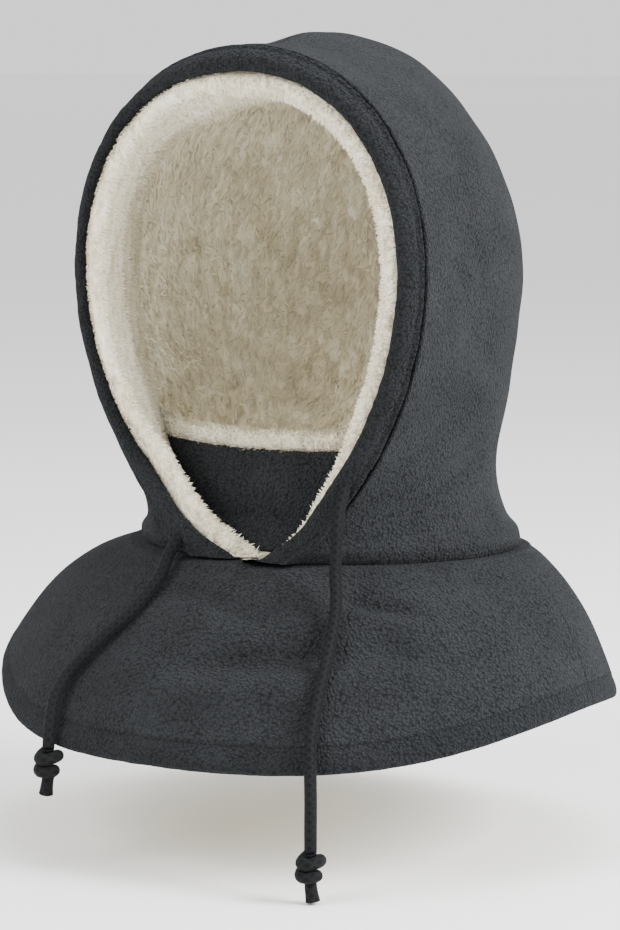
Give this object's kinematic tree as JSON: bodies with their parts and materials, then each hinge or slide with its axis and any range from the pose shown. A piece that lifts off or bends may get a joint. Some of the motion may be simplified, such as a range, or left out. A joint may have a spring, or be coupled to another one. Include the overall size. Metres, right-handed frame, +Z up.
{
  "type": "balaclava",
  "caption": "Winter balaclava hood with plush lining, drawcord hem round the face, chin guard and a cape that covers the shoulders.",
  "frame": {"origin": "where the crown of the wearer's head bears on the lining", "axes": "-Y the way the face looks, +X the wearer's left, +Z up"},
  "size_m": [0.3764, 0.3315, 0.4709],
  "materials": {
    "charcoal_fleece": "pebbled polar fleece",
    "cream_plush": "long-pile plush",
    "black_cord": "tight woven cord"
  },
  "bodies": {
    "hood": {"shell_left": "charcoal_fleece", "shell_right": "charcoal_fleece", "hem_left": "charcoal_fleece", "hem_right": "charcoal_fleece", "cape_front": "charcoal_fleece", "cape_back": "charcoal_fleece", "cape_hem_front": "charcoal_fleece", "cape_hem_back": "charcoal_fleece", "neck_tape": "charcoal_fleece", "lining_left": "cream_plush", "lining_right": "cream_plush", "facing_left": "cream_plush", "facing_right": "cream_plush", "cape_lining_front": "cream_plush", "cape_lining_back": "cream_plush", "drawcord_run": "black_cord"},
    "chin_guard": {"guard_shell": "charcoal_fleece", "guard_lining": "cream_plush", "guard_edge": "cream_plush"},
    "cord_end_left": {"drawcord_left": "black_cord", "knot_left": "black_cord", "tail_left": "black_cord"},
    "cord_end_right": {"drawcord_right": "black_cord", "knot_right": "black_cord", "tail_right": "black_cord"}
  },
  "joints": [
    {"name": "chin_guard_tuck", "type": "hinge", "parent": "hood", "child": "chin_guard", "pos_m": [0, -0.072, -0.2803], "axis": [-1, 0, 0], "range_deg": [0, 60]},
    {"name": "cord_pull_left", "type": "slide", "parent": "hood", "child": "cord_end_left", "axis": [0.1001, -0.6409, -0.7611], "range_m": [0, 0.025]},
    {"name": "cord_pull_right", "type": "slide", "parent": "hood", "child": "cord_end_right", "axis": [-0.2007, -0.6724, -0.7125], "range_m": [0, 0.025]}
  ]
}
